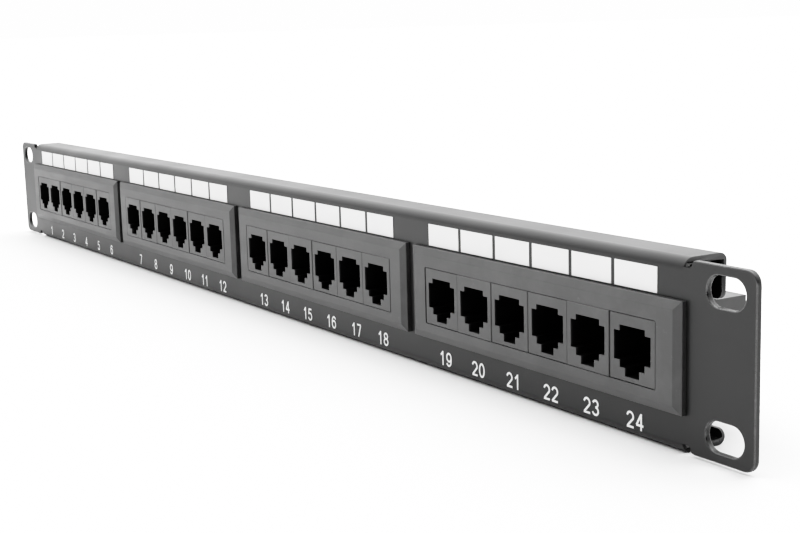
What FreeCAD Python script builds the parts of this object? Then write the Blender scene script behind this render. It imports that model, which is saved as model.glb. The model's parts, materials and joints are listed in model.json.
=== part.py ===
import FreeCAD, Part
import Sketcher
import math
import os
from FreeCAD import Vector

# A 24-port, 1U, 19-inch patch panel: a folded steel front panel that carries four six-port modules.
#
# Frame: millimetres, +X to the right seen from the front, +Y towards the rear, +Z up. The origin is
# the middle of the four rack slots, on the rear face of the rack ears, where the panel meets the rack.

MODULES = 4
PORTS_PER_MODULE = 6
WIRES_PER_PORT = 8
IDC_ROWS = 2
HOOKS = 3

CLOSE = 0.001       # two places this near are the same place
MARGIN = 1.0        # how far a cut runs on past what it cuts
SEAT_STEP = 2.4     # turns the port number into an uneven seat

# alias, millimetres, what it is
DIMENSIONS = [
    ("panel_width", 482.6, "19-inch panel, over the ears"),
    ("ear_height", 43.3, "height of the rack ears"),
    ("channel_top", 21.75, "top flange above the panel's middle"),
    ("channel_bottom", 22.3, "bottom flange below the panel's middle"),
    ("channel_length", 439.6, "length of the folded flanges"),
    ("channel_depth", 13.0, "front face to the back of the flanges"),
    ("sheet", 1.5, "sheet steel thickness"),
    ("front_bend", 2.8, "outside radius of the front bends"),
    ("rear_bend", 2.0, "outside radius of the rear bends"),
    ("top_lip", 10.65, "height of the lip at the back of the top flange"),
    ("bottom_lip", 3.5, "height of the lip at the back of the bottom flange"),
    ("ear_corner", 3.0, "radius of the ears' outer corners"),
    ("relief_width", 2.6, "bend relief between flange and ear"),
    ("relief_depth", 1.8, "depth of the bend relief"),
    ("relief_corner", 0.9, "radius at the bottom of the bend relief"),
    ("ear_inner_corner", 1.2, "radius where the bend relief meets the ear's edge"),
    ("slot_across", 465.1, "rack slot spacing across"),
    ("slot_up", 31.75, "rack slot spacing up"),
    ("slot_length", 11.3, "rack slot, end to end"),
    ("slot_width", 7.0, "rack slot width, for an M6 screw"),
    ("module_pitch", 111.3, "from one module to the next"),
    ("window_width", 102.4, "module window in the front plate"),
    ("window_height", 22.8, "module window in the front plate"),
    ("bezel_width", 107.7, "module bezel at the front plate"),
    ("bezel_height", 25.7, "module bezel at the front plate"),
    ("bezel_drop", 0.4, "bezel's middle below the panel's middle"),
    ("bezel_side", 1.15, "bezel's straight side, out from the plate"),
    ("bevel_depth", 1.0, "bezel's bevel, front to back"),
    ("bevel_width", 2.0, "bezel's bevel, across the face"),
    ("shell_width", 102.0, "module shell behind the plate"),
    ("shell_height", 22.4, "module shell behind the plate"),
    ("shell_wall", 1.6, "module shell's wall"),
    ("shell_end", 4.4, "solid ends of the shell, which take the screws"),
    ("shell_back", 17.9, "shell's rear edge"),
    ("stop_back", 1.0, "rear of the web that the jacks stop against"),
    ("mouth_width", 93.1, "opening in the bezel for the six jacks"),
    ("mouth_height", 15.9, "opening in the bezel for the six jacks"),
    ("jack_drop", 0.8, "jacks' middle below the panel's middle"),
    ("hook_length", 14.0, "snap hook, along the shell"),
    ("hook_rise", 1.0, "snap hook, out from the shell"),
    ("hook_depth", 3.0, "snap hook, front to back"),
    ("hook_gap", 0.15, "snap hook's clearance behind the plate"),
    ("jack_pitch", 15.45, "from one jack to the next"),
    ("jack_width", 15.3, "jack body"),
    ("jack_height", 15.7, "jack nose, in the bezel"),
    ("jack_body_height", 17.8, "jack body behind the bezel"),
    ("jack_back", 15.1, "jack's rear face"),
    ("shoulder", 1.3, "where the jack's taller body starts"),
    ("socket_width", 12.35, "plug opening"),
    ("socket_above", 3.75, "plug opening above the jack's middle"),
    ("socket_below", 3.1, "plug opening below the jack's middle"),
    ("comb_width", 8.5, "contact notch over the plug opening"),
    ("comb_height", 1.4, "contact notch over the plug opening"),
    ("ledge_width", 8.4, "latch step under the plug opening"),
    ("ledge_height", 1.7, "latch step under the plug opening"),
    ("latch_width", 4.8, "latch notch under the step"),
    ("latch_height", 1.9, "latch notch under the step"),
    ("socket_depth", 14.8, "plug opening, front to back"),
    ("wire_pitch", 1.02, "between contact springs"),
    ("wire_width", 0.46, "contact spring, across"),
    ("wire_thick", 0.32, "contact spring, through"),
    ("wire_clear", 0.35, "contact spring under the notch's roof"),
    ("fold_front", 2.4, "where the contact spring folds back"),
    ("spring_end", 10.6, "rear end of the spring's sloping leg"),
    ("spring_fall", 2.9, "how far the sloping leg comes down"),
    ("board_front", 15.3, "circuit board's front face"),
    ("board", 1.6, "circuit board thickness"),
    ("board_width", 92.8, "circuit board"),
    ("board_height", 18.6, "circuit board"),
    ("idc_plate", 1.6, "base plate of the wiring block"),
    ("idc_pitch", 3.86, "between wire slots"),
    ("idc_row_gap", 10.0, "between the two rows of wire slots"),
    ("idc_bar_height", 6.2, "one row of the wiring block"),
    ("idc_bar_length", 93.4, "one row of the wiring block"),
    ("idc_back", 28.6, "tips of the wiring block"),
    ("idc_slot", 1.1, "wire slot"),
    ("idc_slot_depth", 6.5, "wire slot, from the tips"),
    ("idc_tip", 1.9, "bevel along the tips"),
    ("blade_width", 2.9, "wire contact"),
    ("blade_thick", 0.5, "wire contact"),
    ("blade_back", 26.4, "wire contact's tips"),
    ("blade_slit", 0.36, "wire contact's slit"),
    ("blade_slit_depth", 4.6, "wire contact's slit"),
    ("blade_pin", 0.8, "wire contact's pin"),
    ("blade_clear", 0.1, "wire contact's clearance in its pocket"),
    ("screw_across", 97.6, "screw spacing across a module"),
    ("screw_up", 14.0, "screw spacing up a module"),
    ("screw_radius", 1.1, "self-tapping screw"),
    ("screw_head_radius", 2.0, "pan head"),
    ("screw_head_height", 1.5, "pan head"),
    ("screw_reach", 7.0, "screw's length in the shell"),
    ("screw_recess", 1.15, "cross recess, half its length"),
    ("recess_arm", 0.5, "cross recess, width of an arm"),
    ("recess_depth", 0.9, "cross recess, depth"),
    ("label_pitch", 15.51, "from one label to the next"),
    ("label_group", 110.5, "from one row of labels to the next"),
    ("label_width", 14.3, "write-on label"),
    ("label_height", 6.0, "write-on label"),
    ("label_middle", 15.85, "labels above the panel's middle"),
    ("label_thick", 0.12, "write-on label"),
    ("moulded_edge", 0.25, "rounding along the bezel's edges"),
    ("mouth_corner", 0.6, "radius of the bezel opening's corners"),
    ("nose_edge", 0.15, "bevel round the jack's face"),
    ("hook_pitch", 34.0, "between snap hooks"),
    ("rim", 2.0, "rim that presses on the board"),
    ("screw_hole", 1.3, "screw's hole in the base plate"),
    ("seat_play", 0.1, "how unevenly the jacks are seated"),
]

doc = FreeCAD.newDocument("PatchPanel")


class Size:
    """A number that comes from the sheet, together with the formula that says how."""

    def __init__(self, number, formula):
        self.number = number
        self.formula = formula

    def joined(self, sign, other, number):
        return Size(number, "(%s %s %s)" % (self.formula, sign, other.formula))

    def __add__(self, other):
        other = as_size(other)
        return self.joined("+", other, self.number + other.number)

    def __radd__(self, other):
        return as_size(other) + self

    def __sub__(self, other):
        other = as_size(other)
        return self.joined("-", other, self.number - other.number)

    def __rsub__(self, other):
        return as_size(other) - self

    def __mul__(self, other):
        other = as_size(other)
        return self.joined("*", other, self.number * other.number)

    def __truediv__(self, other):
        other = as_size(other)
        return self.joined("/", other, self.number / other.number)

    def __neg__(self):
        return as_size(0) - self


def as_size(thing):
    return thing if isinstance(thing, Size) else Size(float(thing), repr(thing))


class Sizes:
    """The driving dimensions, by name, each tied to its cell of the sheet."""


def make_sheet():
    sheet = doc.addObject("Spreadsheet::Sheet", "Dimensions")
    sizes = Sizes()
    for row, (alias, number, meaning) in enumerate(DIMENSIONS, 1):
        sheet.set("A%d" % row, alias)
        sheet.set("B%d" % row, str(number))
        sheet.set("C%d" % row, meaning)
        sheet.setAlias("B%d" % row, alias)
        setattr(sizes, alias, Size(float(number), "Dimensions." + alias))
    doc.recompute()
    return sizes


dim = make_sheet()
PLATE_FRONT = -dim.sheet
FACE = PLATE_FRONT - dim.bezel_side - dim.bevel_depth
FLANGE_BACK = PLATE_FRONT + dim.channel_depth
SHELL_MIDDLE = -dim.bezel_drop
JACK_MIDDLE = -dim.jack_drop


# ---------------------------------------------------------------- helpers

def bind(thing, prop, size):
    """Ties one property to the sheet."""
    thing.setExpression(prop, as_size(size).formula)


def new_body(name):
    body = doc.addObject("PartDesign::Body", name)
    body.Label = name
    return body


def new_sketch(body, name, role, offset=None):
    """A sketch on one of the body's own planes, moved along the plane's normal by offset."""
    plane = [f for f in body.Origin.OriginFeatures if f.Role == role][0]
    sketch = body.newObject("Sketcher::SketchObject", name)
    sketch.AttachmentSupport = [(plane, "")]
    sketch.MapMode = "FlatFace"
    if offset is not None:
        bind(sketch, "AttachmentOffset.Base.z", offset)
    return sketch


def front_sketch(body, name, y):
    """A sketch seen from the front, across X and up Z, at the depth y. Its normal is -Y."""
    return new_sketch(body, name, "XZ_Plane", -as_size(y))


def side_sketch(body, name, x=None):
    """A sketch seen from the side, across Y and up Z. Its normal is +X."""
    return new_sketch(body, name, "YZ_Plane", x)


def hold_point(sketch, edge, end, across, up):
    """Keeps one end of an edge at (across, up) from the sketch's origin."""
    for kind, size in (("DistanceX", across), ("DistanceY", up)):
        index = sketch.addConstraint(Sketcher.Constraint(kind, -1, 1, edge, end, as_size(size).number))
        bind(sketch, "Constraints[%d]" % index, size)


def outline(sketch, corners):
    """A closed outline of straight edges through the corners, each (across, up)."""
    first = sketch.GeometryCount
    count = len(corners)
    spots = [Vector(as_size(across).number, as_size(up).number, 0) for across, up in corners]
    for i in range(count):
        sketch.addGeometry(Part.LineSegment(spots[i], spots[(i + 1) % count]), False)
    for i in range(count):
        following = first + (i + 1) % count
        sketch.addConstraint(Sketcher.Constraint("Coincident", first + i, 2, following, 1))
    for i, (across, up) in enumerate(corners):
        hold_point(sketch, first + i, 1, across, up)


def rectangle(sketch, middle, size):
    """A rectangle from its middle and its whole size."""
    (across, up), (width, height) = middle, size
    left, right = across - width / 2, across + width / 2
    low, high = up - height / 2, up + height / 2
    outline(sketch, [(left, low), (right, low), (right, high), (left, high)])


def circle(sketch, across, up, radius):
    spot = Vector(as_size(across).number, as_size(up).number, 0)
    ring = sketch.addGeometry(Part.Circle(spot, Vector(0, 0, 1), radius.number), False)
    hold_point(sketch, ring, 3, across, up)
    index = sketch.addConstraint(Sketcher.Constraint("Radius", ring, radius.number))
    bind(sketch, "Constraints[%d]" % index, radius)


def slot(sketch, across, up, length, width):
    """A slot with round ends that runs across, from its middle."""
    reach, radius = (length - width) / 2, width / 2
    left, right = across - reach, across + reach
    quarter = math.pi / 2
    arcs = []
    for x, turn in ((left, 1), (right, 3)):
        ring = Part.Circle(Vector(x.number, up.number, 0), Vector(0, 0, 1), radius.number)
        arc = sketch.addGeometry(Part.ArcOfCircle(ring, turn * quarter, (turn + 2) * quarter), False)
        hold_point(sketch, arc, 3, x, up)
        arcs.append(arc)
    for end, other, side in ((2, 1, -1), (1, 2, 1)):
        height = up.number + side * radius.number
        edge = Part.LineSegment(Vector(left.number, height, 0), Vector(right.number, height, 0))
        line = sketch.addGeometry(edge, False)
        sketch.addConstraint(Sketcher.Constraint("Tangent", arcs[0], end, line, 1))
        sketch.addConstraint(Sketcher.Constraint("Tangent", arcs[1], other, line, 2))
    index = sketch.addConstraint(Sketcher.Constraint("Radius", arcs[0], radius.number))
    bind(sketch, "Constraints[%d]" % index, radius)


def settle(feature):
    """Recomputes, and stops at a feature that failed."""
    doc.recompute()
    if "Invalid" in feature.State or "Error" in feature.State or feature.Shape.isNull():
        raise RuntimeError("%s failed" % feature.Name)
    return feature


def pad(body, sketch, length, backwards=False, both=False):
    feature = body.newObject("PartDesign::Pad", sketch.Name + "_pad")
    feature.Profile = sketch
    bind(feature, "Length", length)
    feature.Reversed = backwards
    feature.Midplane = both
    return settle(feature)


def pocket(body, sketch, length, backwards=False, both=False):
    """A cut that must take something away."""
    before = body.Shape.Volume
    feature = body.newObject("PartDesign::Pocket", sketch.Name + "_cut")
    feature.Profile = sketch
    bind(feature, "Length", length)
    feature.Reversed = backwards
    feature.Midplane = both
    settle(feature)
    if not feature.Shape.Volume < before - CLOSE:
        raise RuntimeError("%s cuts nothing" % feature.Name)
    return feature


def edges_where(body, test):
    """The names of the body's edges whose middle and direction pass the test."""
    names = []
    for i, edge in enumerate(body.Shape.Edges, 1):
        start, finish = edge.Vertexes[0].Point, edge.Vertexes[-1].Point
        span = finish - start
        if span.Length > 0 and test((start + finish) * 0.5, span.normalize()):
            names.append("Edge%d" % i)
    if not names:
        raise RuntimeError("no such edge on %s" % body.Name)
    return names


def soften(body, kind, name, size, test):
    """A fillet or chamfer on every edge of the body that passes the test."""
    names = edges_where(body, test)
    feature = body.newObject("PartDesign::" + kind, name)
    feature.Base = (body.Group[-2], names)
    bind(feature, "Radius" if kind == "Fillet" else "Size", size)
    return settle(feature)


def same(a, b):
    return abs(as_size(a).number - as_size(b).number) < CLOSE


def repeat(body, originals, name, runs):
    """Repeats features along one or two of the body's axes. A run is (axis, spacing, count)."""
    pattern = body.newObject("PartDesign::LinearPattern", name)
    pattern.Originals = originals
    for (axis, spacing, count), suffix in zip(runs, ("", "2")):
        line = [f for f in body.Origin.OriginFeatures if f.Role == axis][0]
        setattr(pattern, "Direction" + suffix, (line, [""]))
        setattr(pattern, "Mode" + suffix, "Extent")
        setattr(pattern, "Occurrences" + suffix, count)
        bind(pattern, "Length" + suffix, spacing * (count - 1))
    body.Tip = pattern
    return settle(pattern)


def first_of(count, spacing):
    """Where the first of a row that is centred on zero goes."""
    return -spacing * ((count - 1) / 2)


def place(master, name, across=0, depth=0):
    """One more of the same moulding, as a node of its own."""
    body = new_body(name)
    copy = doc.addObject("PartDesign::FeatureBase", name + "_copy")
    copy.BaseFeature = master
    body.Group = [copy]
    body.Tip = copy
    bind(body, "Placement.Base.x", across)
    bind(body, "Placement.Base.y", depth)
    return body


def module_middle(module):
    return dim.module_pitch * (module - (MODULES - 1) / 2)


# ---------------------------------------------------------------- the pieces

def make_chassis():
    """Front plate, flanges and lips folded from one sheet, with an ear at each end."""
    body = new_body("chassis")
    top, bottom = dim.channel_top, -dim.channel_bottom
    back = FLANGE_BACK - dim.sheet
    half = dim.channel_length / 2
    end = dim.panel_width / 2
    high = dim.ear_height / 2
    through = dim.sheet * 2 + MARGIN

    bar = side_sketch(body, "channel")
    outline(bar, [(PLATE_FRONT, bottom), (FLANGE_BACK, bottom), (FLANGE_BACK, top), (PLATE_FRONT, top)])
    pad(body, bar, dim.channel_length, both=True)
    soften(body, "Fillet", "front_bends", dim.front_bend,
           lambda p, d: abs(d.x) > CLOSE and same(p.y, PLATE_FRONT))
    soften(body, "Fillet", "rear_bends", dim.rear_bend,
           lambda p, d: abs(d.x) > CLOSE and same(p.y, FLANGE_BACK))

    hollow = side_sketch(body, "hollow")
    floor, roof = bottom + dim.sheet, top - dim.sheet
    outline(hollow, [(0, floor), (back, floor), (back, roof), (0, roof)])
    pocket(body, hollow, dim.channel_length + MARGIN, both=True)

    def inside(p, d, depth):
        return abs(d.x) > CLOSE and same(p.y, depth) and (same(p.z, floor) or same(p.z, roof))

    soften(body, "Fillet", "front_bends_inside", dim.front_bend - dim.sheet, lambda p, d: inside(p, d, 0))
    soften(body, "Fillet", "rear_bends_inside", dim.rear_bend - dim.sheet, lambda p, d: inside(p, d, back))

    rear = side_sketch(body, "rear_opening")
    low, lip = bottom + dim.bottom_lip, top - dim.top_lip
    outline(rear, [(back - MARGIN, low), (FLANGE_BACK + MARGIN, low), (FLANGE_BACK + MARGIN, lip),
                   (back - MARGIN, lip)])
    pocket(body, rear, dim.channel_length + MARGIN, both=True)
    soften(body, "Fillet", "lip_corners", dim.relief_depth,
           lambda p, d: abs(d.y) > CLOSE and same(abs(p.x), half) and (same(p.z, low) or same(p.z, lip)))

    ears = front_sketch(body, "ears", 0)
    for side in (-1, 1):
        outline(ears, [(half * side, -high), (end * side, -high), (end * side, high), (half * side, high)])
    pad(body, ears, dim.sheet)

    reliefs = front_sketch(body, "reliefs", 0)
    for side in (-1, 1):
        for up in (-1, 1):
            inner, outer = half * side, (half + dim.relief_width) * side
            deep, open_end = (high - dim.relief_depth) * up, (high + MARGIN) * up
            outline(reliefs, [(inner, deep), (outer, deep), (outer, open_end), (inner, open_end)])
    pocket(body, reliefs, through, both=True)

    def corner(p, d, across, up):
        return abs(d.y) > CLOSE and same(abs(p.x), across) and same(abs(p.z), up)

    notch = half + dim.relief_width
    soften(body, "Fillet", "ear_corners", dim.ear_corner, lambda p, d: corner(p, d, end, high))
    soften(body, "Fillet", "ear_inner_corners", dim.ear_inner_corner, lambda p, d: corner(p, d, notch, high))
    soften(body, "Fillet", "relief_corners", dim.relief_corner,
           lambda p, d: corner(p, d, notch, high - dim.relief_depth))

    slots = front_sketch(body, "rack_slots", 0)
    for side in (-1, 1):
        for up in (-1, 1):
            slot(slots, dim.slot_across * (side / 2), dim.slot_up * (up / 2), dim.slot_length, dim.slot_width)
    pocket(body, slots, through, both=True)
    windows = front_sketch(body, "module_windows", 0)
    rectangle(windows, (first_of(MODULES, dim.module_pitch), SHELL_MIDDLE), (dim.window_width, dim.window_height))
    cut = pocket(body, windows, through, both=True)
    repeat(body, [cut], "windows_row", [("X_Axis", dim.module_pitch, MODULES)])
    return body


def make_housing():
    """A module's front bezel and the shell behind it, moulded in one."""
    body = new_body("housing")
    middle = (as_size(0), SHELL_MIDDLE)
    bezel = (dim.bezel_width, dim.bezel_height)
    side_front = PLATE_FRONT - dim.bezel_side

    flange = front_sketch(body, "flange", PLATE_FRONT)
    rectangle(flange, middle, bezel)
    pad(body, flange, dim.bezel_side)
    bevel = front_sketch(body, "bevel", side_front)
    rectangle(bevel, middle, bezel)
    sloping = pad(body, bevel, dim.bevel_depth)
    sloping.setExpression("TaperAngle", "-atan(Dimensions.bevel_width / Dimensions.bevel_depth)")
    doc.recompute()
    soften(body, "Fillet", "bevel_edges", dim.moulded_edge,
           lambda p, d: same(p.y, FACE) or same(p.y, side_front) or abs(d.y * d.x * d.z) > CLOSE)

    shell = front_sketch(body, "shell", PLATE_FRONT)
    rectangle(shell, middle, (dim.shell_width, dim.shell_height))
    pad(body, shell, dim.shell_back - PLATE_FRONT, backwards=True)
    cavity = front_sketch(body, "cavity", dim.stop_back)
    rectangle(cavity, middle, (dim.shell_width - dim.shell_end * 2, dim.shell_height - dim.shell_wall * 2))
    pocket(body, cavity, dim.shell_back)
    mouth = front_sketch(body, "mouth", FACE - MARGIN)
    rectangle(mouth, (0, JACK_MIDDLE), (dim.mouth_width, dim.mouth_height))
    pocket(body, mouth, dim.stop_back - FACE + MARGIN * 2)
    soften(body, "Fillet", "mouth_corners", dim.mouth_corner,
           lambda p, d: abs(d.y) > CLOSE and same(abs(p.x), dim.mouth_width / 2)
           and same(abs(p.z - JACK_MIDDLE.number), dim.mouth_height / 2))

    hooks = side_sketch(body, "hooks", first_of(HOOKS, dim.hook_pitch))
    for up in (-1, 1):
        wall = SHELL_MIDDLE + dim.shell_height * (up / 2)
        outline(hooks, [(dim.hook_gap, wall - dim.shell_wall * (up / 2)), (dim.hook_gap, wall + dim.hook_rise * up),
                        (dim.hook_gap + dim.hook_depth, wall),
                        (dim.hook_gap + dim.hook_depth, wall - dim.shell_wall * (up / 2))])
    hook = pad(body, hooks, dim.hook_length, both=True)
    repeat(body, [hook], "hooks_row", [("X_Axis", dim.hook_pitch, HOOKS)])

    pilots = front_sketch(body, "pilots", dim.shell_back)
    for side in (-1, 1):
        for up in (-1, 1):
            circle(pilots, dim.screw_across * (side / 2), SHELL_MIDDLE + dim.screw_up * (up / 2), dim.screw_radius)
    pocket(body, pilots, dim.screw_reach + MARGIN, backwards=True)
    return body


def socket_outline():
    """The plug opening, with the contact notch over it and the two latch steps under it."""
    wide, comb, ledge, latch = (size / 2 for size in
                                (dim.socket_width, dim.comb_width, dim.ledge_width, dim.latch_width))
    above, below = JACK_MIDDLE + dim.socket_above, JACK_MIDDLE - dim.socket_below
    roof = above + dim.comb_height
    step, foot = below - dim.ledge_height, below - dim.ledge_height - dim.latch_height
    right = [(latch, foot), (latch, step), (ledge, step), (ledge, below), (wide, below), (wide, above),
             (comb, above), (comb, roof)]
    return right + [(-across, up) for across, up in reversed(right)]


def make_jack():
    """One jack body: a nose that fills its share of the bezel, and a taller body behind it."""
    body = new_body("jack")
    nose = front_sketch(body, "nose", FACE)
    rectangle(nose, (0, JACK_MIDDLE), (dim.jack_width, dim.jack_height))
    pad(body, nose, dim.shoulder - FACE, backwards=True)
    soften(body, "Chamfer", "nose_edges", dim.nose_edge, lambda p, d: same(p.y, FACE))
    block = front_sketch(body, "block", dim.shoulder)
    rectangle(block, (0, JACK_MIDDLE), (dim.jack_width, dim.jack_body_height))
    pad(body, block, dim.jack_back - dim.shoulder, backwards=True)
    opening = front_sketch(body, "socket", FACE)
    outline(opening, socket_outline())
    pocket(body, opening, dim.socket_depth)
    comb = front_sketch(body, "comb", FACE)
    rectangle(comb, (0, JACK_MIDDLE + dim.socket_above + dim.comb_height / 2), (dim.comb_width, dim.comb_height))
    pocket(body, comb, dim.jack_back - FACE + MARGIN)
    return body


def make_jack_contacts():
    """The contact springs of one module's jacks, each folded back on itself at the front."""
    body = new_body("contact_springs")
    first = first_of(PORTS_PER_MODULE, dim.jack_pitch) + first_of(WIRES_PER_PORT, dim.wire_pitch)
    high = JACK_MIDDLE + dim.socket_above + dim.comb_height - dim.wire_clear
    low = high - dim.wire_thick - dim.spring_fall
    nose, tail = dim.fold_front, dim.spring_end
    thick, turn = dim.wire_thick, dim.wire_thick / 2
    side = side_sketch(body, "spring", first)
    outline(side, [(dim.board_front, high), (nose + turn, high), (nose, high - turn), (nose, high - turn - thick),
                   (tail, low), (tail, low + thick), (nose + turn + thick, high - thick),
                   (dim.board_front, high - thick)])
    wire = pad(body, side, dim.wire_width, both=True)
    repeat(body, [wire], "springs", [("X_Axis", dim.wire_pitch, WIRES_PER_PORT),
                                     ("X_Axis", dim.jack_pitch, PORTS_PER_MODULE)])
    return body


def make_board():
    """The circuit board that carries a module's jacks on one face and its wire contacts on the other."""
    body = new_body("board")
    blank = front_sketch(body, "blank", dim.board_front)
    rectangle(blank, (0, SHELL_MIDDLE), (dim.board_width, dim.board_height))
    pad(body, blank, dim.board, backwards=True)
    return body


def make_idc_block():
    """The wiring block: a base plate that closes the shell, and two rows of wire slots."""
    body = new_body("wiring_block")
    middle = (as_size(0), SHELL_MIDDLE)
    plate_back = dim.shell_back + dim.idc_plate
    rows = [SHELL_MIDDLE + dim.idc_row_gap * (row - (IDC_ROWS - 1) / 2) for row in range(IDC_ROWS)]

    plate = front_sketch(body, "base_plate", dim.shell_back)
    rectangle(plate, middle, (dim.shell_width, dim.shell_height))
    pad(body, plate, dim.idc_plate, backwards=True)
    rim = front_sketch(body, "rim", dim.shell_back)
    rectangle(rim, middle, (dim.board_width, dim.board_height))
    rectangle(rim, middle, (dim.board_width - dim.rim * 2, dim.board_height - dim.rim * 2))
    pad(body, rim, dim.shell_back - dim.board_front - dim.board)

    bars = front_sketch(body, "bars", plate_back)
    for up in rows:
        rectangle(bars, (0, up), (dim.idc_bar_length, dim.idc_bar_height))
    pad(body, bars, dim.idc_back - plate_back, backwards=True)
    soften(body, "Chamfer", "tips", dim.idc_tip, lambda p, d: same(p.y, dim.idc_back) and abs(d.x) > CLOSE)

    wire = front_sketch(body, "wire_slot", dim.idc_back)
    pocket_start = front_sketch(body, "blade_pocket", dim.blade_back + dim.blade_clear)
    count = PORTS_PER_MODULE * WIRES_PER_PORT // IDC_ROWS
    first = first_of(count, dim.idc_pitch)
    for up in rows:
        rectangle(wire, (first, up), (dim.idc_slot, dim.idc_bar_height + MARGIN))
        rectangle(pocket_start, (first, up), (dim.blade_width + dim.blade_clear * 2,
                                              dim.blade_thick + dim.blade_clear * 2))
    slots = pocket(body, wire, dim.idc_slot_depth, backwards=True)
    blades = pocket(body, pocket_start, dim.blade_back - dim.board_front, backwards=True)
    repeat(body, [slots, blades], "slots_row", [("X_Axis", dim.idc_pitch, count)])

    holes = front_sketch(body, "screw_holes", plate_back)
    for side in (-1, 1):
        for up in (-1, 1):
            circle(holes, dim.screw_across * (side / 2), SHELL_MIDDLE + dim.screw_up * (up / 2), dim.screw_hole)
    pocket(body, holes, dim.idc_plate + MARGIN, backwards=True)
    return body


def make_idc_contacts():
    """One module's wire contacts: flat forks that stand on the board and cut into the wires."""
    body = new_body("wire_contacts")
    wide, slit, pin = dim.blade_width / 2, dim.blade_slit / 2, dim.blade_pin / 2
    front, back = dim.board_front + dim.board, dim.blade_back
    neck, root = dim.shell_back + dim.blade_pin, back - dim.blade_slit_depth
    right = [(pin, front), (pin, neck), (wide, neck), (wide, back), (slit, back), (slit, root)]
    count = PORTS_PER_MODULE * WIRES_PER_PORT // IDC_ROWS
    first = first_of(count, dim.idc_pitch)
    flat = new_sketch(body, "fork", "XY_Plane", SHELL_MIDDLE - dim.idc_row_gap / 2)
    outline(flat, [(first + across, depth) for across, depth in right]
            + [(first - across, depth) for across, depth in reversed(right)])
    fork = pad(body, flat, dim.blade_thick, both=True)
    repeat(body, [fork], "forks", [("X_Axis", dim.idc_pitch, count), ("Z_Axis", dim.idc_row_gap, IDC_ROWS)])
    return body


def make_screws():
    """The four pan-head screws that hold a wiring block to its shell."""
    body = new_body("pan_screws")
    across, up = -dim.screw_across / 2, SHELL_MIDDLE - dim.screw_up / 2
    seat = dim.shell_back + dim.idc_plate
    shank = front_sketch(body, "shank", seat)
    circle(shank, across, up, dim.screw_radius)
    screw = [pad(body, shank, dim.idc_plate + dim.screw_reach)]
    head = front_sketch(body, "head", seat)
    circle(head, across, up, dim.screw_head_radius)
    screw.append(pad(body, head, dim.screw_head_height, backwards=True))
    recess = front_sketch(body, "recess", seat + dim.screw_head_height)
    arm, reach = dim.recess_arm / 2, dim.screw_recess
    cross = [(arm, -reach), (arm, -arm), (reach, -arm), (reach, arm), (arm, arm), (arm, reach)]
    outline(recess, [(across + x, up + z) for x, z in cross] + [(across - x, up - z) for x, z in cross])
    screw.append(pocket(body, recess, dim.recess_depth, backwards=True))
    repeat(body, screw, "screws", [("X_Axis", dim.screw_across, 2), ("Z_Axis", dim.screw_up, 2)])
    return body


def make_labels():
    """The six write-on labels over one module."""
    body = new_body("labels")
    face = front_sketch(body, "label", PLATE_FRONT)
    rectangle(face, (first_of(PORTS_PER_MODULE, dim.label_pitch), dim.label_middle),
              (dim.label_width, dim.label_height))
    one = pad(body, face, dim.label_thick)
    repeat(body, [one], "label_row", [("X_Axis", dim.label_pitch, PORTS_PER_MODULE)])
    return body


# ---------------------------------------------------------------- the panel

def build():
    """Makes every piece, and returns the bodies that are written out."""
    pieces = [make_chassis()]
    per_module = [("housing", make_housing()), ("jack_contacts", make_jack_contacts()),
                  ("circuit_board", make_board()), ("idc_block", make_idc_block()),
                  ("idc_contacts", make_idc_contacts()), ("block_screws", make_screws())]
    jack = make_jack()
    labels = make_labels()
    for module in range(MODULES):
        middle = module_middle(module)
        for name, master in per_module:
            pieces.append(place(master, "%s_%d" % (name, module + 1), middle))
        label_middle = dim.label_group * (module - (MODULES - 1) / 2)
        pieces.append(place(labels, "label_strip_%d" % (module + 1), label_middle))
        for port in range(PORTS_PER_MODULE):
            number = module * PORTS_PER_MODULE + port + 1
            across = middle + dim.jack_pitch * (port - (PORTS_PER_MODULE - 1) / 2)
            seat = dim.seat_play * math.sin(number * SEAT_STEP)
            pieces.append(place(jack, "jack_%02d" % number, across, seat))
    doc.recompute()
    return pieces


def check(pieces):
    """Stops if any object failed, or if any piece is empty or unsound."""
    for thing in doc.Objects:
        if "Invalid" in thing.State or "Error" in thing.State:
            raise RuntimeError("%s failed: %s" % (thing.Name, thing.State))
    for piece in pieces:
        if piece.Shape.isNull() or not piece.Shape.isValid() or not piece.Shape.Solids:
            raise RuntimeError("%s has no sound solid" % piece.Label)


def write(pieces):
    os.makedirs("parts", exist_ok=True)
    for piece in pieces:
        piece.Shape.exportStep(os.path.join("parts", piece.Label + ".step"))
        print("%-20s %3d solids %9.1f mm3" % (piece.Label, len(piece.Shape.Solids), piece.Shape.Volume))


panel = build()
check(panel)
write(panel)
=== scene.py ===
import json
import math

import bmesh
import bpy
from mathutils import Matrix, Vector


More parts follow.
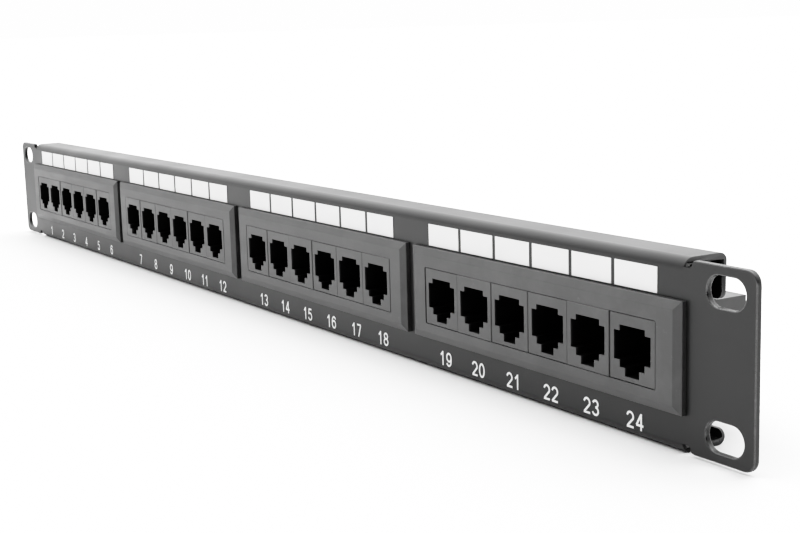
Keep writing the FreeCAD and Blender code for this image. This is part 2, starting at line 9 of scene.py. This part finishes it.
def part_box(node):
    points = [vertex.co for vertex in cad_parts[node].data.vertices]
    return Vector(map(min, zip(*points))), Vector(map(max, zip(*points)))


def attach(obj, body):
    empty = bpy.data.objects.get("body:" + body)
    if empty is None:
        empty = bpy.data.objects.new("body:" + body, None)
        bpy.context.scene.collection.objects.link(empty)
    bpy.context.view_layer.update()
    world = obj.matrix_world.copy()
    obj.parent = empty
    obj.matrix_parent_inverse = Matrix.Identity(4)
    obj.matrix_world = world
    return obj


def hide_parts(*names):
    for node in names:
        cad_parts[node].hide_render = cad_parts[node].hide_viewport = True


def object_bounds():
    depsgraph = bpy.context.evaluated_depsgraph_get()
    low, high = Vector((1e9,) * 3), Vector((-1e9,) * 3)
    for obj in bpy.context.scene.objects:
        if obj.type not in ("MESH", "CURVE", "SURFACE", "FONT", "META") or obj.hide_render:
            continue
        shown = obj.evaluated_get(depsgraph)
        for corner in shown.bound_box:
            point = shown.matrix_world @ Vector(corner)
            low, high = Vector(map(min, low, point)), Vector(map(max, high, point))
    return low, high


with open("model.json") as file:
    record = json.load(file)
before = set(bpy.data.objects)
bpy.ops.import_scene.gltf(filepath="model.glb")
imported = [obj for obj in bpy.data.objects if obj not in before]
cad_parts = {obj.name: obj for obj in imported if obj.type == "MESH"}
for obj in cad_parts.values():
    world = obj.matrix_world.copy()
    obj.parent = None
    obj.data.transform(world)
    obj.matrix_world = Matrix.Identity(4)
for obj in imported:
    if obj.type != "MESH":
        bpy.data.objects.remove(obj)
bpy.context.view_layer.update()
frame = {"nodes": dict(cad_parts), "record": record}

# The looks of a 24-port rack patch panel: powder-coated steel, textured black plastic, printed numbers.
# Units are metres: +X to the right seen from the front, +Y to the rear, +Z up.

MM = 0.001
MODULES = 4
PORTS_PER_MODULE = 6


# ---------------------------------------------------------------- object helpers

def add_object(name, data):
    """A new object in the scene."""
    thing = bpy.data.objects.new(name, data)
    bpy.context.scene.collection.objects.link(thing)
    return thing


def finished_mesh(name, solid):
    """The mesh of a bmesh, which is freed."""
    mesh = bpy.data.meshes.new(name)
    solid.to_mesh(mesh)
    solid.free()
    return mesh


def settled(holder):
    """The mesh that an object's modifiers make. The object itself goes."""
    bpy.context.view_layer.update()
    graph = bpy.context.evaluated_depsgraph_get()
    mesh = bpy.data.meshes.new_from_object(holder.evaluated_get(graph), preserve_all_data_layers=True,
                                           depsgraph=graph)
    bpy.data.objects.remove(holder)
    return mesh


# ---------------------------------------------------------------- material helpers

MIX_SHARE, MIX_FIRST, MIX_SECOND = 0, 6, 7      # a Mix node's inputs when it mixes colours
MIX_RESULT = 2


class Shader:
    """A material under construction: its Principled shader, and short calls for the nodes that feed it."""

    def __init__(self, name, roughness, metallic=0.0, specular=0.5, coat=0.0, coat_roughness=0.1):
        self.material = bpy.data.materials.new(name)
        self.material.use_nodes = True
        self.nodes = self.material.node_tree.nodes
        self.links = self.material.node_tree.links
        self.surface = self.nodes["Principled BSDF"]
        self.set(self.surface, "Roughness", roughness)
        self.set(self.surface, "Metallic", metallic)
        self.set(self.surface, "Specular IOR Level", specular)
        self.set(self.surface, "Coat Weight", coat)
        self.set(self.surface, "Coat Roughness", coat_roughness)
        self.place = self.nodes.new("ShaderNodeTexCoord").outputs["Object"]
        self.last_bump = None

    def set(self, node, socket, value):
        """Gives a socket a number, or links it to another node's output."""
        if isinstance(value, bpy.types.NodeSocket):
            self.links.new(value, node.inputs[socket])
        else:
            node.inputs[socket].default_value = value

    def stretched(self, x, y, z):
        """The piece's own coordinates, scaled along each axis."""
        mapping = self.nodes.new("ShaderNodeMapping")
        self.set(mapping, "Vector", self.place)
        self.set(mapping, "Scale", (x, y, z))
        return mapping.outputs["Vector"]

    def noise(self, size, detail=3.0, rough=0.55, place=None):
        """Cloudy noise whose blobs are about size metres across."""
        node = self.nodes.new("ShaderNodeTexNoise")
        self.set(node, "Vector", place or self.place)
        self.set(node, "Scale", 1.0 / size)
        self.set(node, "Detail", detail)
        self.set(node, "Roughness", rough)
        return node.outputs["Fac"]

    def cells(self, size, feature="F1"):
        """Distance to the nearest of scattered points about size metres apart."""
        node = self.nodes.new("ShaderNodeTexVoronoi")
        node.feature = feature
        self.set(node, "Vector", self.place)
        self.set(node, "Scale", 1.0 / size)
        return node.outputs["Distance"]

    def spread(self, value, low_in, high_in, low_out, high_out):
        """Maps a value from one range to another and holds it there."""
        node = self.nodes.new("ShaderNodeMapRange")
        for socket, number in (("Value", value), ("From Min", low_in), ("From Max", high_in),
                               ("To Min", low_out), ("To Max", high_out)):
            self.set(node, socket, number)
        return node.outputs["Result"]

    def math(self, kind, a, b):
        """One step of arithmetic on two values, such as ADD or MULTIPLY."""
        node = self.nodes.new("ShaderNodeMath")
        node.operation = kind
        for index, value in enumerate((a, b)):
            self.set(node, index, value)
        return node.outputs[0]

    def mix(self, share, first, second):
        """A colour between two colours."""
        node = self.nodes.new("ShaderNodeMix")
        node.data_type = "RGBA"
        self.set(node, MIX_SHARE, share)
        for index, colour in ((MIX_FIRST, first), (MIX_SECOND, second)):
            self.set(node, index, colour if isinstance(colour, bpy.types.NodeSocket) else (*colour, 1.0))
        return node.outputs[MIX_RESULT]

    def color(self, value):
        self.set(self.surface, "Base Color", value)

    def roughness(self, value):
        self.set(self.surface, "Roughness", value)

    def bump(self, height, depth, strength=1.0):
        """Raises the surface by height times depth metres, on top of any bump made before."""
        node = self.nodes.new("ShaderNodeBump")
        self.set(node, "Strength", strength)
        self.set(node, "Distance", depth)
        self.set(node, "Height", height)
        if self.last_bump:
            self.set(node, "Normal", self.last_bump)
        self.last_bump = node.outputs["Normal"]
        self.set(self.surface, "Normal", self.last_bump)


def grey(level, warmth=0.0):
    """A grey of one level, or a slightly warm one."""
    return (level * (1 + warmth), level, level * (1 - warmth))


# ---------------------------------------------------------------- materials

def panel_paint():
    """Satin black powder coat: a faint orange peel, fine pits and a few dust marks."""
    m = Shader("panel_paint", roughness=0.4, specular=0.34)
    tone = m.noise(45 * MM, detail=2)
    specks = m.spread(m.cells(2.6 * MM), 0.0, 0.045, 1.0, 0.0)
    dusty_areas = m.spread(m.noise(16 * MM), 0.52, 0.62, 0.0, 0.6)
    coat = m.mix(tone, grey(0.012), grey(0.016))
    m.color(m.mix(m.math("MULTIPLY", specks, dusty_areas), coat, grey(0.08, 0.02)))
    m.roughness(m.spread(m.noise(26 * MM, detail=4), 0.35, 0.65, 0.37, 0.42))
    orange_peel = m.noise(1.5 * MM, detail=1)
    pits = m.noise(0.28 * MM, detail=2)
    m.bump(orange_peel, 0.02 * MM, 0.35)
    m.bump(pits, 0.008 * MM, 0.3)
    return m.material


def thin_paint():
    """The same coat where it pulls thin and glossy over deburred edges."""
    m = Shader("thin_paint", roughness=0.24, specular=0.75)
    worn = m.spread(m.noise(3 * MM, detail=5, rough=0.7), 0.45, 0.7, 0.0, 1.0)
    m.color(m.mix(worn, grey(0.02), grey(0.075)))
    m.roughness(m.spread(worn, 0.0, 1.0, 0.2, 0.3))
    m.bump(m.noise(0.5 * MM, detail=2), 0.006 * MM, 0.3)
    return m.material


SOCKET_SHADE_GREY = 0.0015          # grey level of the painted shade deep in the sockets, near black
SOCKET_SHADE_FADE = 0.6 * MM        # the painted shade fades in over this depth behind the sockets' rims


def moulded_black(name, level, roughness, grain, shade_past=None):
    """Black plastic from a spark-eroded mould: an even fine grain, with flow marks, scuffs and smudges.
    Past the given depth, the insides of the sockets get painted shade: a near-black colour that stands in
    for the shadow deep in the sockets."""
    m = Shader(name, roughness=roughness)
    flow = m.noise(7 * MM, detail=4, place=m.stretched(0.25, 1.0, 1.6))
    scuff = m.spread(m.noise(2.2 * MM, detail=6, rough=0.7), 0.64, 0.74, 0.0, 1.0)
    smudge = m.spread(m.noise(13 * MM, detail=5, rough=0.62), 0.42, 0.68, 0.0, 1.0)
    surface = m.mix(flow, grey(level * 0.8), grey(level * 1.2))
    surface = m.mix(m.math("MULTIPLY", scuff, 0.5), surface, grey(level * 2.6))
    surface = m.mix(m.math("MULTIPLY", smudge, 0.55), surface, grey(level * 2.0))
    if shade_past is not None:
        # painted shade: behind the rim the colour fades to near black, for the shadow deep in the sockets
        depth = m.nodes.new("ShaderNodeSeparateXYZ")
        m.set(depth, "Vector", m.place)
        socket_shade = m.spread(depth.outputs["Y"], shade_past, shade_past + SOCKET_SHADE_FADE, 0.0, 1.0)
        surface = m.mix(socket_shade, surface, grey(SOCKET_SHADE_GREY))
    m.color(surface)
    m.roughness(m.math("ADD", m.spread(flow, 0.3, 0.7, roughness - 0.05, roughness + 0.05),
                       m.math("MULTIPLY", smudge, 0.07)))
    m.bump(m.noise(grain, detail=2), 0.02 * MM, 0.45)
    m.bump(m.cells(grain * 1.6, "SMOOTH_F1"), 0.015 * MM, 0.25)
    return m.material


def plated_metal(name, color, dark, roughness, along):
    """Plated metal with fine drawing lines along one axis."""
    m = Shader(name, roughness=roughness, metallic=1.0)
    scale = [1.0, 1.0, 1.0]
    scale[along] = 0.06
    lines = m.noise(0.12 * MM, detail=3, place=m.stretched(*scale))
    m.color(m.mix(m.noise(1.2 * MM), dark, color))
    m.roughness(m.spread(lines, 0.3, 0.7, roughness - 0.08, roughness + 0.1))
    m.bump(lines, 0.004 * MM, 0.4)
    return m.material


CLOTH_WEAVE = 2.4 * MM      # one repeat of the glass cloth under the solder mask


def board_green():
    """Solder mask over woven glass cloth."""
    m = Shader("board_green", roughness=0.28, coat=0.3)
    across = m.nodes.new("ShaderNodeTexWave")
    up = m.nodes.new("ShaderNodeTexWave")
    for wave, axis in ((across, "X"), (up, "Z")):
        wave.bands_direction = axis
        m.set(wave, "Vector", m.place)
        m.set(wave, "Scale", 1 / CLOTH_WEAVE)
    weave = m.math("MULTIPLY", across.outputs["Fac"], up.outputs["Fac"])
    m.color(m.mix(m.math("MULTIPLY", weave, 0.5), (0.008, 0.09, 0.035), (0.02, 0.17, 0.07)))
    m.roughness(m.spread(m.noise(3 * MM), 0.3, 0.7, 0.22, 0.34))
    m.bump(weave, 0.01 * MM, 0.3)
    return m.material


def label_white():
    """Matt white write-on film."""
    m = Shader("label_white", roughness=0.5, specular=0.35)
    fibre = m.noise(0.4 * MM, detail=4)
    m.color(m.mix(m.noise(12 * MM), grey(0.7, 0.004), grey(0.76, 0.002)))
    m.roughness(m.spread(fibre, 0.3, 0.7, 0.44, 0.58))
    m.bump(fibre, 0.006 * MM, 0.3)
    return m.material


def printed_ink():
    """White screen-printed ink with a slightly uneven film."""
    m = Shader("printed_ink", roughness=0.45)
    film = m.noise(0.35 * MM, detail=4)
    m.color(m.mix(m.spread(film, 0.35, 0.7, 0.0, 1.0), grey(0.76), grey(0.86)))
    m.roughness(m.spread(film, 0.3, 0.7, 0.38, 0.52))
    m.bump(film, 0.006 * MM, 0.4)
    return m.material


def floor_white():
    """Matt white table top."""
    m = Shader("floor_white", roughness=0.6, specular=0.2)
    m.color(m.mix(m.noise(0.6, detail=2), grey(0.86), grey(0.87)))
    return m.material


SOCKET_RIM = -3.5 * MM      # just behind the jacks' faces, where the painted shade in the sockets begins

# one material for each slot in the record
MATERIALS = {
    "panel_paint": panel_paint(),
    "housing_plastic": moulded_black("housing_plastic", 0.036, 0.4, 0.22 * MM),
    # the jacks' plastic is painted near black inside the sockets, as painted shade
    "jack_plastic": moulded_black("jack_plastic", 0.038, 0.4, 0.17 * MM, shade_past=SOCKET_RIM),
    "contact_gold": plated_metal("contact_gold", (0.95, 0.68, 0.26), (0.75, 0.48, 0.15), 0.25, along=1),
    "board_green": board_green(),
    "block_plastic": moulded_black("block_plastic", 0.034, 0.42, 0.3 * MM),
    "blade_metal": plated_metal("blade_metal", (0.78, 0.76, 0.72), (0.6, 0.58, 0.53), 0.3, along=1),
    "screw_steel": plated_metal("screw_steel", (0.66, 0.66, 0.67), (0.45, 0.45, 0.46), 0.32, along=2),
    "label_white": label_white(),
}


def dress_nodes():
    """Every CAD node gets the material of its slot in the record."""
    for part in frame["record"]["subparts"]:
        mesh = frame["nodes"][part["node"]].data
        mesh.materials.clear()
        mesh.materials.append(MATERIALS[part["material_slot"]])


# ---------------------------------------------------------------- the folded panel

EDGE_ROUND = 0.3 * MM
EDGE_STEPS = 3                  # flat steps across a rounded edge
SHORT_EDGE = EDGE_ROUND / 5     # edges shorter than this are closed up
FLAT_TURN = math.radians(0.5)   # faces that turn less than this are one face
CUT_TURN = math.radians(50)     # edges that turn more than this are cut edges, and not bends
FLANGE_END = 219.8 * MM         # half the length of the folded flanges, where the bend reliefs are
RELIEF_START = 18.0 * MM        # the reliefs are further than this above or below the middle
RELIEF_REACH = 3.2 * MM         # the narrow reliefs keep their sharp punched edges this far around


def in_relief(spot):
    """Whether a corner of the mesh belongs to one of the four bend reliefs."""
    return abs(abs(spot.x) - FLANGE_END) < RELIEF_REACH and abs(spot.z) > RELIEF_START


def rounded_panel():
    """The folded sheet with its cut edges rounded by deburring and paint."""
    solid = bmesh.new()
    solid.from_mesh(frame["nodes"]["chassis"].data)
    bmesh.ops.remove_doubles(solid, verts=solid.verts, dist=SHORT_EDGE)
    bmesh.ops.dissolve_limit(solid, angle_limit=FLAT_TURN, verts=solid.verts, edges=solid.edges)
    cut = [e for e in solid.edges
           if len(e.link_faces) == 2 and e.calc_face_angle_signed() > CUT_TURN
           and not all(in_relief(v.co) for v in e.verts)]
    bmesh.ops.bevel(solid, geom=cut, offset=EDGE_ROUND, segments=EDGE_STEPS, profile=0.5, affect="EDGES",
                    clamp_overlap=False, material=1)    # the second finish, thin paint
    for face in solid.faces:
        face.smooth = True
    mesh = finished_mesh("rounded_panel", solid)
    for finish in (MATERIALS["panel_paint"], thin_paint()):
        mesh.materials.append(finish)
    rough = add_object("rough_panel", mesh)
    rough.modifiers.new("flat faces stay flat", "WEIGHTED_NORMAL")
    piece = add_object("folded_panel", settled(rough))
    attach(piece, "root")
    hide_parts("chassis")


# ---------------------------------------------------------------- printed numbers

DIGIT_HEIGHT = 4.05 * MM
DIGIT_WIDTH = 2.62 * MM
DIGIT_STEP = 3.2 * MM           # from one digit of a number to the next
STROKE = 0.56 * MM
NUMBER_MIDDLE = -18.1 * MM      # the numbers' middle, below the panel's middle
NUMBER_SHIFT = -0.25 * MM       # the print sits a little to the left of the labels
INK_THICK = 0.03 * MM
LABEL_GAP = 1.21 * MM           # between two labels
BUTT = STROKE / 2 / (DIGIT_HEIGHT - STROKE)     # how far a stroke's flat end stands past its line
CURVE_STEP = 12                 # degrees between the points of a digit's curves
FEWEST_STEPS = 4                # even on the shortest curve
TIGHTEST_MITRE = 0.5            # a sharp corner stands out to twice the stroke's half width at most


def arc(across, up, wide, high, start, finish):
    """Points along part of an ellipse, from one angle to another, in degrees."""
    steps = max(FEWEST_STEPS, round(abs(finish - start) / CURVE_STEP))
    angles = [math.radians(start + (finish - start) * i / steps) for i in range(steps + 1)]
    return [(across + wide * math.cos(a), up + high * math.sin(a)) for a in angles]


def ring(across, up, wide, high):
    """A whole ellipse, from its top round to its top."""
    return arc(across, up, wide, high, 90, 450)


SIX = [ring(0.5, 0.32, 0.5, 0.32), arc(0.56, 0.55, 0.56, 0.45, 35, 180) + [(0, 0.32)]]

# the middle lines of each digit's strokes, in a box that is 1 wide and 1 high
DIGITS = {
    "0": [ring(0.5, 0.5, 0.5, 0.5)],
    "1": [[(0.12, 0.72), (0.6, 1.0)], [(0.62, -BUTT), (0.62, 1 + BUTT)]],
    "2": [arc(0.5, 0.7, 0.5, 0.3, 170, -25) + [(0.03, 0.02)], [(-0.06, 0), (1.08, 0)]],
    "3": [arc(0.47, 0.765, 0.43, 0.235, 165, -90), arc(0.47, 0.265, 0.5, 0.265, 90, -165)],
    "4": [[(0.7, 1.0), (0, 0.27)], [(-0.06, 0.27), (1.12, 0.27)], [(0.76, -BUTT), (0.76, 1 + BUTT)]],
    "5": [[(0.98, 1), (0.16, 1)], [(0.22, 1.04), (0.08, 0.5)], arc(0.48, 0.32, 0.52, 0.32, 140, -165)],
    "6": SIX,
    "7": [[(-0.04, 1), (1.02, 1)], [(0.97, 0.98), (0.3, -BUTT)]],
    "8": [ring(0.5, 0.77, 0.43, 0.23), ring(0.5, 0.27, 0.5, 0.27)],
    "9": [[(1 - across, 1 - up) for across, up in stroke] for stroke in SIX],
}


def add_ribbon(solid, line, layer):
    """One flat stroke of ink along a line in the XZ plane, as a closed solid."""
    closed = (line[0] - line[-1]).length < STROKE / 100
    if closed:
        line = line[:-1]
    count = len(line)
    loops = []
    for i, spot in enumerate(line):
        before = line[i - 1] if closed or i else spot - (line[1] - spot)
        after = line[(i + 1) % count] if closed or i < count - 1 else spot + (spot - line[i - 1])
        into, out = (spot - before).normalized(), (after - spot).normalized()
        along = (into + out).normalized()
        side = Vector((along.y, -along.x)) * (STROKE / 2 / max(TIGHTEST_MITRE, along.dot(into)))
        edges = (spot - side, spot + side)
        front, back = -INK_THICK - layer, 0.0
        loops.append([solid.verts.new((p.x, y, p.y)) for y in (front, back) for p in edges])
    for i in range(count if closed else count - 1):
        a, b = loops[i], loops[(i + 1) % count]
        for first, second in ((0, 1), (1, 3), (3, 2), (2, 0)):
            solid.faces.new((a[first], a[second], b[second], b[first]))
    if not closed:
        solid.faces.new([loops[0][k] for k in (2, 3, 1, 0)])
        solid.faces.new([loops[-1][k] for k in (0, 1, 3, 2)])


def number_mesh(words):
    """A port number in plain upright digits, centred on zero."""
    solid = bmesh.new()
    across, up = DIGIT_WIDTH - STROKE, DIGIT_HEIGHT - STROKE
    for place, digit in enumerate(words):
        middle = DIGIT_STEP * (place - (len(words) - 1) / 2)
        for layer, stroke in enumerate(DIGITS[digit]):
            line = [Vector((middle + (u - 0.5) * across, (v - 0.5) * up)) for u, v in stroke]
            add_ribbon(solid, line, layer * INK_THICK / 10)
    bmesh.ops.recalc_face_normals(solid, faces=solid.faces)
    return finished_mesh("port_number", solid)


def print_numbers():
    """The port numbers, each under its socket and in line with its label."""
    ink = printed_ink()
    for module in range(MODULES):
        low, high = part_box("label_strip_%d" % (module + 1))
        pitch = (high.x - low.x + LABEL_GAP) / PORTS_PER_MODULE
        for port in range(PORTS_PER_MODULE):
            number = module * PORTS_PER_MODULE + port + 1
            across = low.x + pitch * (port + 0.5) - LABEL_GAP / 2 + NUMBER_SHIFT
            mesh = number_mesh(str(number))
            mesh.transform(Matrix.Translation((across, high.y, NUMBER_MIDDLE)))
            mesh.materials.append(ink)
            piece = add_object("port_number_%02d" % number, mesh)
            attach(piece, "root")


# ---------------------------------------------------------------- studio

FLOOR_REACH = 40.0      # metres from the panel to the floor's edge
WALL_SHOWN = 1.9        # how bright the studio's wall looks to the camera


def make_floor():
    """A wide pale table top under the panel."""
    size, drop = FLOOR_REACH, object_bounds()[0].z
    mesh = bpy.data.meshes.new("floor")
    corners = [(-size, -size, drop), (size, -size, drop), (size, size, drop), (-size, size, drop)]
    mesh.from_pydata(corners, [], [(0, 1, 2, 3)])
    mesh.materials.append(floor_white())
    add_object("floor", mesh)


def make_world():
    """A white studio: brightest overhead, then behind and on the left, and dim on the right."""
    world = bpy.data.worlds.new("studio")
    world.use_nodes = True
    nodes, links = world.node_tree.nodes, world.node_tree.links
    background = nodes["Background"]
    place = nodes.new("ShaderNodeTexCoord").outputs["Generated"]

    def towards(direction, low, high, dim, bright):
        """Light that goes from dim to bright as the cosine to a direction goes from low to high."""
        dot = nodes.new("ShaderNodeVectorMath")
        dot.operation = "DOT_PRODUCT"
        dot.inputs[1].default_value = Vector(direction).normalized()
        links.new(place, dot.inputs[0])
        ramp = nodes.new("ShaderNodeMapRange")
        ramp.interpolation_type = "SMOOTHSTEP"
        for socket, number in zip(("From Min", "From Max", "To Min", "To Max"), (low, high, dim, bright)):
            ramp.inputs[socket].default_value = number
        links.new(dot.outputs["Value"], ramp.inputs["Value"])
        return ramp.outputs["Result"]

    def combine(kind, a, b):
        """One step of arithmetic on two light levels."""
        node = nodes.new("ShaderNodeMath")
        node.operation = kind
        for index, value in enumerate((a, b)):
            if isinstance(value, bpy.types.NodeSocket):
                links.new(value, node.inputs[index])
            else:
                node.inputs[index].default_value = value
        return node.outputs[0]

    overhead = towards((0, 0, 1), 0.2, 1.0, 0.25, 4.2)
    backdrop = towards((-0.35, 0.93, 0.12), 0.0, 0.95, 0.0, 1.7)
    left_side = towards((-0.93, -0.37, 0.02), 0.55, 0.97, 0.0, 1.2)
    right_side = towards((0.9, -0.42, -0.05), -0.1, 0.7, 1.0, 0.04)
    lamps = combine("ADD", combine("ADD", overhead, backdrop), left_side)
    light = combine("MULTIPLY", lamps, right_side)
    seen = nodes.new("ShaderNodeLightPath").outputs["Is Camera Ray"]
    shown = combine("ADD", combine("MULTIPLY", light, combine("SUBTRACT", 1.0, seen)),
                    combine("MULTIPLY", seen, WALL_SHOWN))
    links.new(shown, background.inputs["Strength"])
    background.inputs["Color"].default_value = (1, 1, 1, 1)
    bpy.context.scene.world = world


CAMERA_PLACE = (0.44168, -0.21255, 0.07318)
CAMERA_TURN = math.radians(57.975)      # to the left of straight ahead
CAMERA_TILT = math.radians(-9.743)      # down from level
CAMERA_LEAN = math.radians(-1.602)      # about its own view line
CAMERA_LENS = 63.39                     # millimetres, on a sensor 36 mm wide
SENSOR_WIDTH = 36.0
FARTHEST_SEEN = 200.0                   # metres, past the floor's edge


def make_camera():
    """The photograph's viewpoint: low, off the right-hand end, looking along the panel."""
    data = bpy.data.cameras.new("camera")
    data.sensor_width = SENSOR_WIDTH
    data.lens = CAMERA_LENS
    data.clip_end = FARTHEST_SEEN
    camera = add_object("camera", data)
    camera.matrix_world = (Matrix.Translation(CAMERA_PLACE)
                           @ Matrix.Rotation(CAMERA_TURN, 4, "Z")
                           @ Matrix.Rotation(math.radians(90) + CAMERA_TILT, 4, "X")
                           @ Matrix.Rotation(CAMERA_LEAN, 4, "Z"))
    bpy.context.scene.camera = camera


BRIGHTEST = 2.4         # the light level that is shown as pure white
COMBINED_CURVE = 3      # the curve that acts on all three colours
# each pair is a light level and the level that it is shown as
TONES = ((0.02, 0.008), (0.06, 0.047), (0.2, 0.2), (0.7, 0.69), (1.1, 0.87), (1.5, 0.955))


def set_tones():
    """The tone curve of an ordinary camera: deep shadows, and highlights that bend before they clip."""
    settings = bpy.context.scene.view_settings
    settings.view_transform = "Standard"
    settings.use_curve_mapping = True
    mapping = settings.curve_mapping
    mapping.clip_max_x = BRIGHTEST
    curve = mapping.curves[COMBINED_CURVE]
    curve.points[-1].location = (BRIGHTEST, 1.0)
    for level, shown in TONES:
        curve.points.new(level, shown)
    mapping.update()


dress_nodes()
rounded_panel()
print_numbers()
make_floor()
make_world()
make_camera()
set_tones()
